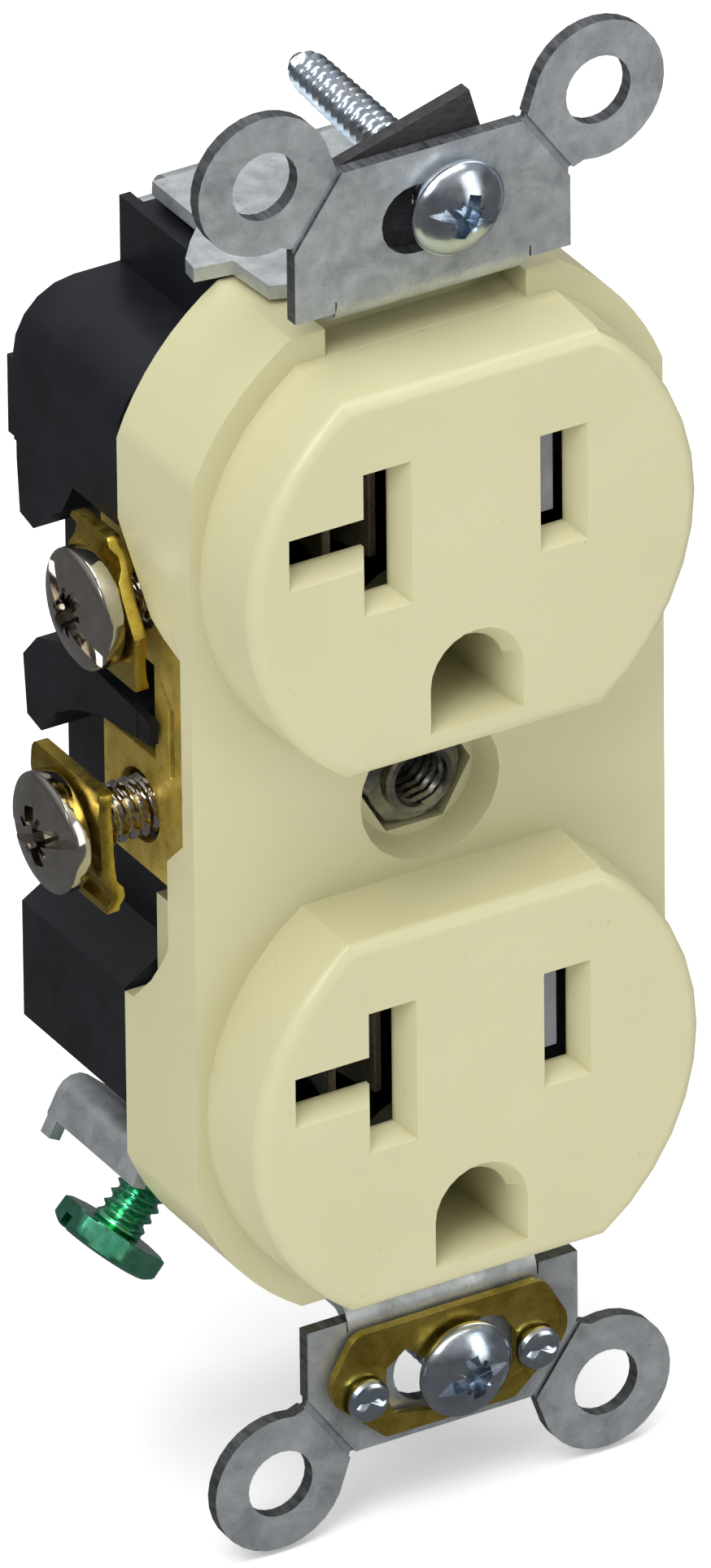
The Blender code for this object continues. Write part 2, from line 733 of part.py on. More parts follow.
def add_screw(name, material, seat, direction, head, shank):
    """A domed screw whose head rests at the seat and faces along the direction.

    The head is (radius, thickness, rim) and the shank is (radius, length).
    """
    profile = screw_profile(domed_head(*head), *shank)
    screw = Piece(name, material, placed(turned(profile, 20), seat, direction), seat)
    for cutter in cross_recess(head[0] * 0.93, 0.9, head[1]):
        screw.cut(placed(cutter, seat, direction))
    screw.smooth()


def mounting_screws():
    tilt = (0, -math.cos(TOP_SCREW_TILT), -math.sin(TOP_SCREW_TILT))
    for name, seat, direction in (
        ("mounting_screw_top", TOP_SCREW, tilt),
        ("mounting_screw_bottom", BOTTOM_SCREW, (0, -1, 0)),
    ):
        head = (MOUNT_HEAD_RADIUS, MOUNT_HEAD_T, MOUNT_RIM)
        add_screw(name, "zinc_plate", seat, direction, head, (MOUNT_SHANK_RADIUS, MOUNT_SHANK_LENGTH))


def ground_screw():
    point, direction = ground_screw_axis()
    seat = point + direction * GROUND_SCREW_OUT
    length = GROUND_SHANK_LENGTH
    radius = GROUND_SHANK_RADIUS
    shank = turned([(0, 0.5), (radius, 0.5), (radius, 0.6 - length), (radius - 0.55, -length), (0, -length)])
    head = plate([circle((0, 0), GROUND_HEAD_RADIUS, 6, GROUND_HEAD_TURN)], 0, GROUND_HEAD_T, "Z")
    screw = Piece("ground_screw", "green_plate", placed(shank, seat, direction), seat)
    screw.join(placed(head, seat, direction))
    slot = box((-5, -0.5, GROUND_HEAD_T - 0.9), (5, 0.5, GROUND_HEAD_T + 1))
    screw.cut(placed(slot, seat, direction)).smooth()


def clip_rivets():
    """Rivets that hold the grounding clip to the lower flange."""
    profile = [
        (0, 0.6),
        (1.5, 0.5),
        (1.5, 0.0),
        (0.9, 0.0),
        (0.9, -2.5),
        (1.5, -2.5),
        (1.5, -3.0),
        (0, -3.0),
    ]
    for name, x in (("clip_rivet_left", -CLIP_RIVET_X), ("clip_rivet_right", CLIP_RIVET_X)):
        mesh = placed(turned(profile, 16), (x, -2.2, CLIP_RIVET_Z), (0, -1, 0))
        Piece(name, "zinc_plate", mesh).smooth()


def grounding_clip():
    """Brass spring clip that presses on the lower mounting screw."""
    right = [(7.0, -37.3), (8.8, -39.7), (8.0, -42.6), (6.5, -45.4)]
    outline = mirrored(right) + right[::-1]
    window = stadium((0, -SCREW_SLOT_Z), 4.7, 2.9)
    holes = [circle((side * CLIP_RIVET_X, CLIP_RIVET_Z), RIVET_HOLE_RADIUS, 16) for side in (1, -1)]
    clip = plate([rounded(outline, 0.9, 3, closed=True), window, *holes], -1.9, -1.3)
    Piece("grounding_clip", "brass", clip)


def screw_retainer():
    """Fibre square that grips the top mounting screw behind the flange."""
    turn = math.radians(15.8)
    corners = [(-6.6, -3.0), (3.9, -3.0), (3.9, 6.05), (-6.6, 6.05)]
    outline = []
    for u, v in corners:
        x = TOP_SCREW[0] + u * math.cos(turn) - v * math.sin(turn)
        z = TOP_SCREW[2] + u * math.sin(turn) + v * math.cos(turn)
        outline.append((x, z))
    centre = (TOP_SCREW[0], TOP_SCREW[2] + 0.15)
    mesh = plate([outline, circle(centre, MOUNT_SHANK_RADIUS + 2 * GAP)], GAP, 1.3)
    Piece("screw_retainer_top", "black_fibre", mesh, (TOP_SCREW[0], 0.8, TOP_SCREW[2]))


def cover_screw_bushing():
    """Threaded tube with a hex collar; its flared end holds the strap from behind."""
    back = STRAP_BACK_Y + STRAP_T / 2 + GAP
    profile = [(BUSHING_BORE, back + 0.8), (3.4, back + 0.8), (3.4, back), (BUSHING_RADIUS, back),
               (BUSHING_RADIUS, 1.1), (BUSHING_BORE, 1.1)]
    bushing = Piece("cover_screw_bushing", "galvanized_steel", placed(turned(profile), (0, 0, 0), (0, 1, 0)))
    collar = plate([hexagon((0, 0), BUSHING_HEX), circle((0, 0), BUSHING_RADIUS - 0.3)], RECESS_DEPTH + 0.2, 3.6)
    bushing.join(collar).smooth()


# ---------------------------------------------------------------- contacts


def contact_strip(name, side):
    """Side plate with two terminal pads, break-off link, and a pair of spring leaves for each outlet."""
    outline = [
        (13.4, -5.2), (13.4, 3.4), (6.9, 3.4), (6.9, 10.2), (13.4, 10.2), (13.4, 18.8), (8.4, 18.8),
        (5.5, 15.2), (4.2, 13.8), (1.9, 13.1), (1.9, -0.3), (3.8, -2.2), (3.8, -5.2),
    ]
    slit = [(4.5, 2.9), (5.1, 2.9), (5.1, 7.9), (4.5, 7.9)]
    holes = [circle((TERMINAL_Y, z), TERMINAL_HOLE_RADIUS) for z in TERMINAL_Z]
    inner = PAD_OUTER_X - PAD_T
    arms = (
        [(-15.9, 11.0), (-4.4, 11.0), (-4.4, 27.0), (-8.6, 27.0), (-8.6, 17.8), (-15.9, 17.8)],
        [(-15.9, 2.2), (-4.4, 2.2), (-4.4, -20.6), (-8.6, -20.6), (-8.6, -4.6), (-15.9, -4.6)],
    )
    meshes = [plate([outline, slit, *holes], -PAD_OUTER_X, -inner, "X")]
    for arm, centre_z in zip(arms, (FACE_Z, -FACE_Z)):
        meshes.append(plate([arm], *ARM_Y))
        low = centre_z + BLADE_Z - LEAF_LENGTH / 2
        for lean in (1, -1):
            line = [(-BLADE_X + lean * u, y) for u, y in ((1.7, 13.1), (1.7, 9.0), (1.0, 2.2), (1.7, -1.2))]
            meshes.append(plate([ribbon(line, LEAF_T)], low, low + LEAF_LENGTH, "Z"))
    if side > 0:
        meshes = [flipped(mesh, (1, 0, 0)) for mesh in meshes]
    Piece(name, "brass", meshes[0]).join(*meshes[1:])


def ground_contacts():
    """Spring leaves for each ground pin, riveted through the body to the strap."""
    for place, centre_z in (("upper", FACE_Z), ("lower", -FACE_Z)):
        z = centre_z + GROUND_PIN_Z
        back = CHANNEL_Y - BODY_WALL - GAP
        line = [(-2.55, 4.4), (-2.1, 6.5), (-2.4, back - LEAF_T / 2), (2.4, back - LEAF_T / 2), (2.1, 6.5), (2.55, 4.4)]
        contact = Piece(
            f"ground_contact_{place}", "brass",
            plate([ribbon(line, LEAF_T)], z - 2.6, z + 2.6, "Z"),
        )
        contact.cut(plate([circle((0, z), 1.55, 16)], back - 3, back + 3))
        head = back - LEAF_T - GAP
        tail = STRAP_BACK_Y + STRAP_T / 2 + GAP
        profile = [(0, tail + 0.7), (2.2, tail + 0.5), (2.2, tail), (1.25, tail), (1.25, head),
                   (1.8, head), (1.8, head - 0.7), (0, head - 0.7)]
        rivet = placed(turned(profile, 16), (0, 0, z), (0, 1, 0))
        Piece(f"ground_rivet_{place}", "galvanized_steel", rivet).smooth()


def terminals():
    """A pressure clamp and its screw at each terminal, each backed out by its own amount."""
    head = (TERMINAL_HEAD_RADIUS, TERMINAL_HEAD_T, TERMINAL_RIM)
    shank = (TERMINAL_SHANK_RADIUS, TERMINAL_SHANK_LENGTH)
    for side, line, screw_material in ((-1, "neutral", "nickel_plate"), (1, "hot", "brass")):
        for place, z in zip(("upper", "lower"), TERMINAL_Z):
            out = BACKED_OUT[line, place]
            outline = [(TERMINAL_Y + u, z + v) for u, v in CLAMP_OUTLINES[place]]
            inner = CLAMP_INNER_X + out
            hole = circle((TERMINAL_Y, z), TERMINAL_HOLE_RADIUS)
            shape = rounded(outline, 0.4, 2, closed=True)
            clamp = plate([shape, hole], inner, inner + CLAMP_T, "X")
            seat = (inner + CLAMP_T + GAP, TERMINAL_Y, z)
            if side < 0:
                clamp = flipped(clamp, (1, 0, 0))
                seat = (-seat[0], TERMINAL_Y, z)
            Piece(f"terminal_clamp_{line}_{place}", "brass", clamp, seat)
            add_screw(f"terminal_screw_{line}_{place}", screw_material, seat, (side, 0, 0), head, shank)


# ---------------------------------------------------------------- shutters


def spring(name, start, turns=3, points_per_turn=8):
    """A small compression spring along X."""
    curve = bpy.data.curves.new(name, "CURVE")
    curve.dimensions = "3D"
    curve.bevel_depth = SPRING_WIRE / 2 * MM
    curve.bevel_resolution = 2
    curve.use_fill_caps = True
    spline = curve.splines.new("POLY")
    count = turns * points_per_turn
    spline.points.add(count)
    wire = SPRING_WIRE / 2
    length = SPRING_X[1] - SPRING_X[0] - 2 * wire
    for index, point in enumerate(spline.points):
        angle = 2 * math.pi * index / points_per_turn
        x = start[0] + wire + length * index / count
        y = start[1] + SPRING_RADIUS * math.cos(angle)
        z = start[2] + SPRING_RADIUS * math.sin(angle)
        point.co = (x * MM, y * MM, z * MM, 1.0)
    obj = add_object(name, curve, bpy.data.collections[PARTS])
    curve.materials.append(bpy.data.materials["spring_steel"])
    return obj


def shutters():
    """In each outlet, the slider that blocks the slots, and its return spring."""
    for place, centre_z in (("upper", FACE_Z), ("lower", -FACE_Z)):
        outline = [
            (SPRING_X[1] + GAP, 0.5), (SHUTTER_EDGE_X, 0.5), (SHUTTER_EDGE_X, 8.8),
            (-8.3, 8.8), (-8.3, 5.4), (-7.0, 5.4), (-7.0, 7.7), (SPRING_X[1] + GAP, 7.7),
        ]
        outline = [(x, centre_z + z) for x, z in outline]
        Piece(f"shutter_{place}", "shutter_plastic", plate([outline], *SHUTTER_Y))
        spring(f"shutter_spring_{place}", (SPRING_X[0], sum(SHUTTER_Y) / 2, centre_z + SPRING_Z))


def main():
    clear_scene()
    make_collection(PARTS)
    make_collection(CUTTERS)
    for name in COLOURS:
        make_material(name)
    face_cover()
    back_body()
    mounting_strap()
    mounting_screws()
    screw_retainer()
    grounding_clip()
    clip_rivets()
    ground_screw()
    cover_screw_bushing()
    contact_strip("neutral_contact_strip", -1)
    contact_strip("hot_contact_strip", 1)
    ground_contacts()
    terminals()
    shutters()


main()
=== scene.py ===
"""Looks of the duplex wall outlet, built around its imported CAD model.

The row frame has X to the right, Y into the wall and Z up. Sizes here are in millimetres unless a
comment says otherwise, and MM turns them into the frame's metres.
"""

import json
import math
from collections import namedtuple

import bmesh
import bpy
from mathutils import Matrix, Vector


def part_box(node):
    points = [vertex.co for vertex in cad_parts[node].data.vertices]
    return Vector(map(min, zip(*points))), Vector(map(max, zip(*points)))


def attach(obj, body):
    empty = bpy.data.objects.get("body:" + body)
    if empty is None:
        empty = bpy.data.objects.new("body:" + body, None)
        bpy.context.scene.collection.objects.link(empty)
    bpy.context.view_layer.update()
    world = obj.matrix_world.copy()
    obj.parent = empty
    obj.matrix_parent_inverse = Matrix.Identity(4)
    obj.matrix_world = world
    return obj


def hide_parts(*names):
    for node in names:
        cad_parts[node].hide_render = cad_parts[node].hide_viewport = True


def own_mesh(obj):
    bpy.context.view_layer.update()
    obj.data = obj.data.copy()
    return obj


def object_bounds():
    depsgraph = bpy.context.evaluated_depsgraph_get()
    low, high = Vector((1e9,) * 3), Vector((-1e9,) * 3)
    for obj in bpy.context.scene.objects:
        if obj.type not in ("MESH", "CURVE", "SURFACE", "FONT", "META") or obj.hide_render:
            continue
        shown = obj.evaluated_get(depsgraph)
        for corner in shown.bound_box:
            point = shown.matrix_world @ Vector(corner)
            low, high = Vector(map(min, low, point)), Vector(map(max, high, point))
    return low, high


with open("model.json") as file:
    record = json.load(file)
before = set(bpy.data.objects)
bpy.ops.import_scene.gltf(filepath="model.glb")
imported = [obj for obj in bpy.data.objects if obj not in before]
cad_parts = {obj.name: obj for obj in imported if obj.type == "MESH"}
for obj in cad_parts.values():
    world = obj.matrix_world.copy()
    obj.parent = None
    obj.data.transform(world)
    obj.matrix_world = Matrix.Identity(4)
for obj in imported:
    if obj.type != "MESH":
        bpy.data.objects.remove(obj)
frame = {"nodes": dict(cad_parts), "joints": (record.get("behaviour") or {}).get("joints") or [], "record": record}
CAD_BOX = [list(corner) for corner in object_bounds()]

MM = 0.001
TAU = 2 * math.pi
NODES = frame["nodes"]
JOINTS = {joint["name"]: joint for joint in frame["joints"]}
SLOT_OF = {row["node"]: row["material_slot"] for row in frame["record"]["subparts"]}
BODY_OF = {
    node: body
    for body, nodes in frame["record"]["behaviour"]["bodies"].items()
    for node in nodes
}
PLACES = ("upper", "lower")
LINES = (("neutral", -1), ("hot", 1))  # each contact line and the side of the housing it is on


# ---------------------------------------------------------------- materials


def fill_ramp(node, stops):
    """Sets a colour ramp's stops; each is (position, colour or grey)."""
    elements = node.color_ramp.elements
    while len(elements) < len(stops):
        elements.new(0.5)
    for element, (position, value) in zip(elements, stops):
        element.position = position
        grey = isinstance(value, (int, float))
        element.color = (value, value, value, 1.0) if grey else (*value, 1.0)


class Shader:
    """A Principled material whose colour, roughness and bump come from object-space textures."""

    def __init__(self, name, colour, roughness, metallic=0.0, **uniform):
        self.material = bpy.data.materials.new(name)
        self.material.use_nodes = True
        self.tree = self.material.node_tree
        self.shader = self.tree.nodes["Principled BSDF"]
        self.shader.inputs["Base Color"].default_value = (*colour, 1.0)
        self.shader.inputs["Roughness"].default_value = roughness
        self.shader.inputs["Metallic"].default_value = metallic
        for socket, value in uniform.items():
            self.shader.inputs[socket.replace("_", " ")].default_value = value
        self.coordinates = self.add("ShaderNodeTexCoord").outputs["Object"]
        self.relief = None

    def add(self, kind, **settings):
        node = self.tree.nodes.new(kind)
        for key, value in settings.items():
            setattr(node, key, value)
        return node

    def link(self, out, socket):
        self.tree.links.new(out, socket)

    def scaled(self, factors, texture):
        """Feeds the texture with the coordinates times these factors."""
        mapping = self.add("ShaderNodeMapping")
        mapping.inputs["Scale"].default_value = factors
        self.link(self.coordinates, mapping.inputs["Vector"])
        texture.inputs["Scale"].default_value = 1.0
        self.link(mapping.outputs["Vector"], texture.inputs["Vector"])

    def noise(self, per_mm, detail=3.0, rough=0.55, stretch=(1, 1, 1), distortion=0.0):
        """Noise with this many features per millimetre, stretched along the axes."""
        texture = self.add("ShaderNodeTexNoise")
        texture.inputs["Detail"].default_value = detail
        texture.inputs["Roughness"].default_value = rough
        texture.inputs["Distortion"].default_value = distortion
        self.scaled(tuple(per_mm / MM * k for k in stretch), texture)
        return texture.outputs["Fac"]

    def cells(self, per_mm):
        """The grey value of each cell of a pattern of crystals."""
        texture = self.add("ShaderNodeTexVoronoi", feature="F1")
        self.scaled((per_mm / MM,) * 3, texture)
        grey = self.add("ShaderNodeRGBToBW")
        self.link(texture.outputs["Color"], grey.inputs[0])
        return grey.outputs[0]

    def ramp(self, fac, *stops):
        """Colour ramp over the factor; each stop is (position, colour or grey)."""
        node = self.add("ShaderNodeValToRGB")
        fill_ramp(node, stops)
        self.link(fac, node.inputs["Fac"])
        return node.outputs["Color"]

    def mix(self, fac, first, second, blend="MIX"):
        """Colour mix; first and second are sockets or colours."""
        node = self.add("ShaderNodeMix", data_type="RGBA", blend_type=blend)
        if isinstance(fac, (int, float)):
            node.inputs["Factor"].default_value = fac
        else:
            self.link(fac, node.inputs["Factor"])
        for index, value in ((6, first), (7, second)):
            if isinstance(value, tuple):
                node.inputs[index].default_value = (*value, 1.0)
            else:
                self.link(value, node.inputs[index])
        return node.outputs[2]

    def map_range(self, value, low, high, to_low, to_high):
        node = self.add("ShaderNodeMapRange")
        limits = {"From Min": low, "From Max": high, "To Min": to_low, "To Max": to_high}
        for name, limit in limits.items():
            node.inputs[name].default_value = limit
        self.link(value, node.inputs["Value"])
        return node.outputs["Result"]

    def within_x(self, inner, outer):
        """1 near the object's middle plane and 0 far out along X."""
        split = self.add("ShaderNodeSeparateXYZ")
        self.link(self.coordinates, split.inputs["Vector"])
        size = self.add("ShaderNodeMath", operation="ABSOLUTE")
        self.link(split.outputs["X"], size.inputs[0])
        return self.map_range(size.outputs[0], inner * MM, outer * MM, 1.0, 0.0)

    def paint(self, colour):
        self.link(colour, self.shader.inputs["Base Color"])

    def dull(self, fac, low, high):
        """Roughness between low and high as the factor goes from 0.3 to 0.7."""
        self.link(self.map_range(fac, 0.3, 0.7, low, high), self.shader.inputs["Roughness"])

    def bump(self, fac, depth, strength=1.0):
        """Relief of this depth; later calls lie on top of earlier ones."""
        node = self.add("ShaderNodeBump")
        node.inputs["Strength"].default_value = strength
        node.inputs["Distance"].default_value = depth * MM
        self.link(fac, node.inputs["Height"])
        if self.relief is not None:
            self.link(self.relief, node.inputs["Normal"])
        self.relief = node.outputs["Normal"]
        self.link(self.relief, self.shader.inputs["Normal"])


def ivory_plastic():
    look = Shader("ivory_plastic", (0.53, 0.50, 0.30), 0.36, IOR=1.5)
    cloud = look.noise(0.06, 3.0)
    colour = look.ramp(cloud, (0.3, (0.540, 0.515, 0.312)), (0.7, (0.512, 0.487, 0.290)))
    specks = look.ramp(look.noise(1.1, 2.0, 0.7), (0.72, 0.0), (0.80, 1.0))
    look.paint(look.mix(specks, colour, (0.44, 0.40, 0.22)))
    look.dull(look.noise(0.5, 4.0), 0.31, 0.42)
    look.bump(look.noise(7.0, 2.0), 0.006, 0.35)
    look.bump(look.noise(0.25, 2.0), 0.03, 0.25)
    return look.material


def black_plastic():
    look = Shader("black_plastic", (0.008, 0.009, 0.012), 0.34, Specular_IOR_Level=0.3)
    cloud = look.noise(0.2, 4.0)
    base = look.ramp(cloud, (0.3, (0.006, 0.007, 0.009)), (0.7, (0.012, 0.013, 0.017)))
    dust = look.ramp(look.noise(2.2, 3.0, 0.75), (0.735, 0.0), (0.79, 1.0))
    look.paint(look.mix(dust, base, (0.16, 0.17, 0.20)))
    look.dull(look.noise(0.6, 5.0), 0.26, 0.46)
    look.bump(look.noise(5.0, 3.0), 0.008, 0.5)
    look.bump(look.noise(0.3, 2.0), 0.05, 0.3)
    return look.material


def galvanized_steel():
    """Zinc-coated strip: clouds, crystals and fine grain under darker stains."""
    look = Shader("galvanized_steel", (0.42, 0.46, 0.49), 0.44, 0.82)
    dark, middle, light = (0.38, 0.41, 0.425), (0.54, 0.575, 0.59), (0.68, 0.71, 0.725)
    cloud = look.noise(0.35, 5.0, 0.62, distortion=0.6)
    base = look.ramp(cloud, (0.28, dark), (0.48, middle), (0.72, light))
    base = look.mix(0.12, base, look.cells(1.3), "SOFT_LIGHT")
    grain = look.ramp(look.noise(5.0, 3.0, 0.7), (0.35, 0.30), (0.65, 0.72))
    base = look.mix(0.35, base, grain, "SOFT_LIGHT")
    stain = look.ramp(look.noise(1.6, 5.0, 0.7, distortion=1.2), (0.60, 0.0), (0.72, 0.55))
    look.paint(look.mix(stain, base, (0.20, 0.21, 0.22)))
    look.dull(look.noise(0.8, 5.0), 0.40, 0.60)
    look.bump(look.noise(3.0, 4.0, 0.65), 0.014, 0.5)
    look.bump(look.noise(0.5, 3.0), 0.03, 0.4)
    return look.material


def sheared_edge():
    """The dark, streaked edge that a punch leaves on zinc-coated strip."""
    look = Shader("sheared_edge", (0.12, 0.125, 0.13), 0.5, 0.8)
    streaks = look.noise(2.5, 4.0, 0.6, (1, 0.15, 1))
    look.paint(look.ramp(streaks, (0.3, (0.06, 0.065, 0.07)), (0.7, (0.20, 0.21, 0.22))))
    look.dull(look.noise(2.0, 4.0), 0.35, 0.6)
    look.bump(streaks, 0.02, 0.5)
    return look.material


def brass(name, shaded_inside=False):
    """Stamped brass; on a contact, the part inside the housing gets painted shade: a duller, darker tone."""
    look = Shader(name, (0.50, 0.36, 0.09), 0.30, 0.6 if shaded_inside else 1.0)
    dark, middle, light = (0.42, 0.30, 0.045), (0.64, 0.47, 0.085), (0.78, 0.62, 0.15)
    cloud = look.noise(0.45, 4.0, 0.6, distortion=0.5)
    base = look.ramp(cloud, (0.30, dark), (0.52, middle), (0.75, light))
    tarnish = look.ramp(look.noise(1.1, 5.0, 0.7), (0.58, 0.0), (0.74, 0.7))
    base = look.mix(tarnish, base, (0.20, 0.14, 0.04))
    # painted shade: near the middle plane, inside the housing, the brass is mixed towards a dull grey-brown
    if shaded_inside:
        base = look.mix(look.within_x(9.5, 12.5), base, (0.34, 0.29, 0.21))
    look.paint(base)
    look.dull(look.noise(1.2, 5.0), 0.22, 0.42)
    look.bump(look.noise(2.5, 4.0), 0.010, 0.5)
    return look.material


def plated(name, light, dark, smoothest, roughest, tint=None, coat=0.0):
    """Plated steel: mirror-like, with faint tool marks, clouding and sometimes a tint."""
    look = Shader(name, light, smoothest, 1.0, Coat_Weight=coat, Coat_Roughness=0.08)
    cloud = look.noise(0.7, 4.0, 0.6)
    base = look.ramp(cloud, (0.3, dark), (0.7, light))
    if tint:
        tinted = look.ramp(look.noise(0.4, 2.0), (0.40, 0.0), (0.65, 0.8))
        base = look.mix(tinted, base, tint)
    look.paint(base)
    look.dull(look.noise(1.5, 5.0), smoothest, roughest)
    look.bump(look.noise(4.0, 3.0), 0.004, 0.4)
    look.bump(look.noise(0.6, 2.0), 0.012, 0.3)
    return look.material


def nickel_plate():
    return plated("nickel_plate", (0.66, 0.62, 0.56), (0.50, 0.47, 0.43), 0.07, 0.16)


def zinc_plate():
    bluish = (0.50, 0.60, 0.72)
    return plated("zinc_plate", (0.68, 0.72, 0.77), (0.45, 0.50, 0.55), 0.14, 0.28, bluish)


def green_plate():
    """Green dye over zinc, under a clear coat."""
    light, dark, tint = (0.22, 0.74, 0.42), (0.06, 0.42, 0.20), (0.10, 0.55, 0.38)
    return plated("green_plate", light, dark, 0.14, 0.28, tint, coat=0.6)


def spring_steel():
    return plated("spring_steel", (0.52, 0.52, 0.52), (0.36, 0.36, 0.36), 0.22, 0.34)


# Plated steel painted darker than the strap's steel: painted shade of the recess the bushing sits in.
def shaded_bushing_steel():
    return plated("shaded_bushing_steel", (0.36, 0.36, 0.35), (0.17, 0.165, 0.15), 0.18, 0.36)


def shutter_plastic():
    pale = (0.24, 0.245, 0.28)
    look = Shader("shutter_plastic", pale, 0.38, Subsurface_Weight=0.1, Subsurface_Scale=0.0006)
    cloud = look.noise(0.5, 3.0)
    look.paint(look.ramp(cloud, (0.3, (0.21, 0.215, 0.25)), (0.7, (0.29, 0.295, 0.33))))
    look.dull(look.noise(1.5, 4.0), 0.32, 0.48)
    look.bump(look.noise(4.0, 3.0), 0.006, 0.4)
    return look.material


def black_fibre():
    """Pressed fibre board, with its grain along Z drawn close."""
    look = Shader("black_fibre", (0.02, 0.02, 0.022), 0.75)
    fibres = look.noise(1.5, 6.0, 0.7, (1, 1, 3))
    look.paint(look.ramp(fibres, (0.3, (0.012, 0.012, 0.014)), (0.75, (0.045, 0.045, 0.05))))
    look.dull(look.noise(1.2, 5.0), 0.55, 0.85)
    look.bump(look.noise(6.0, 4.0, 0.7, (1, 1, 4)), 0.02, 0.7)
    return look.material


def floor_paper():
    white = (0.90, 0.90, 0.90)
    glow = {"Emission_Color": (1, 1, 1, 1), "Emission_Strength": 0.3}
    look = Shader("floor_paper", white, 0.8, **glow)
    look.paint(look.ramp(look.noise(0.01, 3.0), (0.3, 0.885), (0.7, 0.905)))
    look.bump(look.noise(0.8, 3.0), 0.01, 0.2)
    return look.material


MATERIALS = {
    "ivory_plastic": ivory_plastic(),
    "black_plastic": black_plastic(),
    "galvanized_steel": galvanized_steel(),
    "brass": brass("brass"),
    "nickel_plate": nickel_plate(),
    "zinc_plate": zinc_plate(),
    "green_plate": green_plate(),
    "shutter_plastic": shutter_plastic(),
    "black_fibre": black_fibre(),
    "spring_steel": spring_steel(),
}
# the contacts' brass, with painted shade on the part inside the housing
CONTACT_BRASS = brass("contact_brass", shaded_inside=True)
# darker steel for the bushing, which is painted shade of its recess
SHADED_BUSHING_STEEL = shaded_bushing_steel()


# ---------------------------------------------------------------- making pieces


def add_piece(name, mesh, node, bevel=None, smooth=32.0, segments=2):
    """A finished piece that stands for one CAD node: its body, slot and material are the node's.

    Its edges are rounded by the bevel, or else those over the smooth angle in degrees stay sharp.
    """
    obj = bpy.data.objects.new(name, mesh)
    bpy.context.scene.collection.objects.link(obj)
    mesh.materials.clear()
    mesh.materials.append(MATERIALS[SLOT_OF[node]])
    mesh.shade_smooth()
    if bevel:
        modifier = obj.modifiers.new("edges", "BEVEL")
        modifier.width = bevel * MM
        modifier.segments = segments
        modifier.limit_method = "ANGLE"
        modifier.angle_limit = math.radians(30)
        modifier.use_clamp_overlap = True
        modifier.miter_outer = "MITER_ARC"
        flatten = obj.modifiers.new("flat_faces", "WEIGHTED_NORMAL")
        flatten.mode = "FACE_AREA"
        flatten.weight = 100
    else:
        mesh.set_sharp_from_angle(angle=math.radians(smooth))
    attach(obj, BODY_OF[node])
    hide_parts(node)
    return obj


def solid_of(node):
    """The node's shape as a bmesh with shared points and whole flat faces."""
    build = bmesh.new()
    build.from_mesh(NODES[node].data)
    bmesh.ops.remove_doubles(build, verts=build.verts, dist=2e-6)
    bmesh.ops.dissolve_limit(
        build, angle_limit=math.radians(1.0), verts=build.verts, edges=build.edges
    )
    bmesh.ops.connect_verts_concave(build, faces=build.faces)
    return build


def to_mesh(build, name):
    mesh = bpy.data.meshes.new(name)
    bmesh.ops.recalc_face_normals(build, faces=build.faces)
    build.to_mesh(mesh)
    build.free()
    return mesh


def copy_of(node, name, bevel, **options):
    return add_piece(name, to_mesh(solid_of(node), name), node, bevel, **options)


def ring(radius, height):
    """A round row of a lathe."""
    return lambda angle: (radius, height)


def lathe(rows, steps, closed=False):
    """A skin over rows of points round +Z. Each row is a function of the angle: (radius, z).

    The first and last rows are closed with a fan, or joined to each other if closed is set.
    """
    build = bmesh.new()
    rings = []
    for row in rows:
        points = []
        for step in range(steps):
            angle = TAU * step / steps
            radius, height = row(angle)
            point = Vector((radius * math.cos(angle), radius * math.sin(angle), height)) * MM
            points.append(build.verts.new(point))
        rings.append(points)
    pairs = list(zip(rings, rings[1:]))
    if closed:
        pairs.append((rings[-1], rings[0]))
    for upper, lower in pairs:
        for step in range(steps):
            after = (step + 1) % steps
            build.faces.new((upper[step], upper[after], lower[after], lower[step]))
    if not closed:
        for points in (rings[0], rings[-1]):
            centre = sum((vertex.co for vertex in points), Vector()) / steps
            tip = build.verts.new(centre)
            for step in range(steps):
                build.faces.new((points[step], points[(step + 1) % steps], tip))
    return build


def cut(mesh, cutter, name):
    """The mesh less the cutter, as a new mesh."""
    obj = bpy.data.objects.new(name, mesh)
    tool = bpy.data.objects.new(name + "_tool", cutter)
    for each in (obj, tool):
        bpy.context.scene.collection.objects.link(each)
    modifier = obj.modifiers.new("cut", "BOOLEAN")
    modifier.object = tool
    modifier.operation = "DIFFERENCE"
    modifier.solver = "EXACT"
    graph = bpy.context.evaluated_depsgraph_get()
    made = bpy.data.meshes.new_from_object(obj.evaluated_get(graph))
    for each in (obj, tool):
        bpy.data.objects.remove(each)
    return made


def place(mesh, seat, direction):
    """Turns the mesh's +Z to the direction and moves it to the seat."""
    turn = Vector((0, 0, 1)).rotation_difference(Vector(direction)).to_matrix().to_4x4()
    mesh.transform(Matrix.Translation(Vector(seat) * MM) @ turn)


def seat_of(joint):
    """Where a screw's head rests and the way it faces, from its joint."""
    row = JOINTS[joint]
    return [value / MM for value in row["pos_m"]], row["axis"]


# ---------------------------------------------------------------- screws

SCREW_STEPS = 48
THREAD_PITCH = 0.794  # 32 threads an inch, on every screw of the outlet
THREAD_ROWS_PER_TURN = 9

Head = namedtuple("Head", "radius thickness rim")
Shank = namedtuple("Shank", "radius length depth taper")
Recess = namedtuple("Recess", "slot_width slot_depth cross_length cross_depth")

